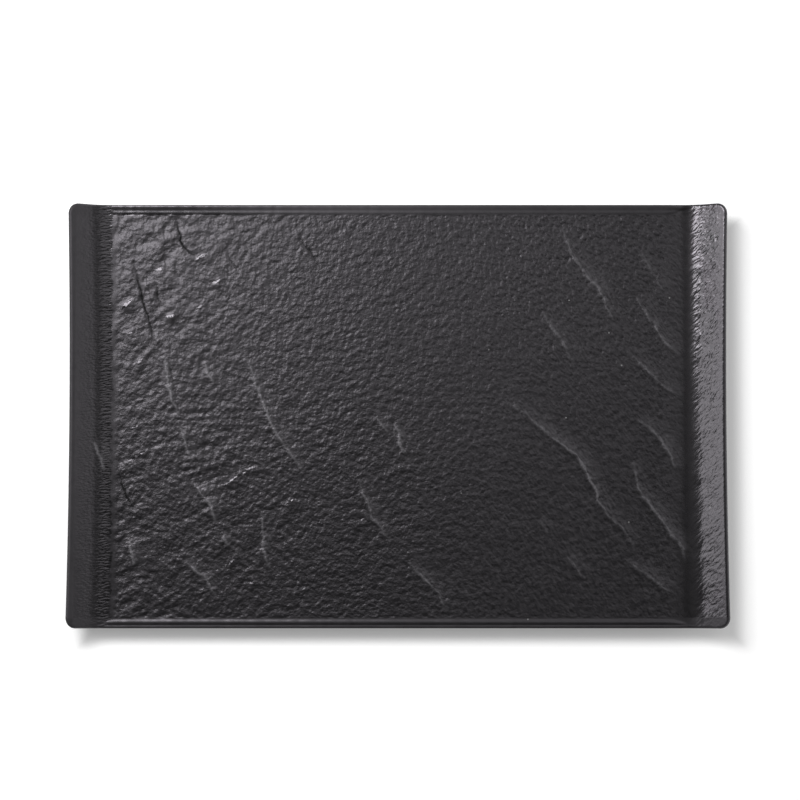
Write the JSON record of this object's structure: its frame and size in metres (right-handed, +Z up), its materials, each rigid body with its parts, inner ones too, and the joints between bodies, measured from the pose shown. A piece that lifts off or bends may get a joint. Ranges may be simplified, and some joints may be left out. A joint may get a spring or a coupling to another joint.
{
  "type": "rectangular plate",
  "caption": "Rectangular black ceramic serving plate with a slate-like glazed face, low lips along its long edges and short ends that turn up into rims.",
  "frame": {"origin": "on the table under the middle of the plate, in the plane of the foot ring", "axes": "+X along the plate's length from one raised rim to the other, +Y across its depth, +Z up out of the serving face"},
  "size_m": [0.28, 0.1806, 0.0155],
  "materials": {
    "bare_ceramic": "unglazed dark stoneware, matt, seen only on the foot ring",
    "slate_glaze": "satin black glaze over a slate-like relief",
    "underside_glaze": "satin black glaze, nearly smooth"
  },
  "bodies": {
    "root": {"ceramic_body": "bare_ceramic", "serving_face_glaze": "slate_glaze", "underside_border_glaze": "underside_glaze", "underside_panel_glaze": "underside_glaze"}
  },
  "joints": []
}
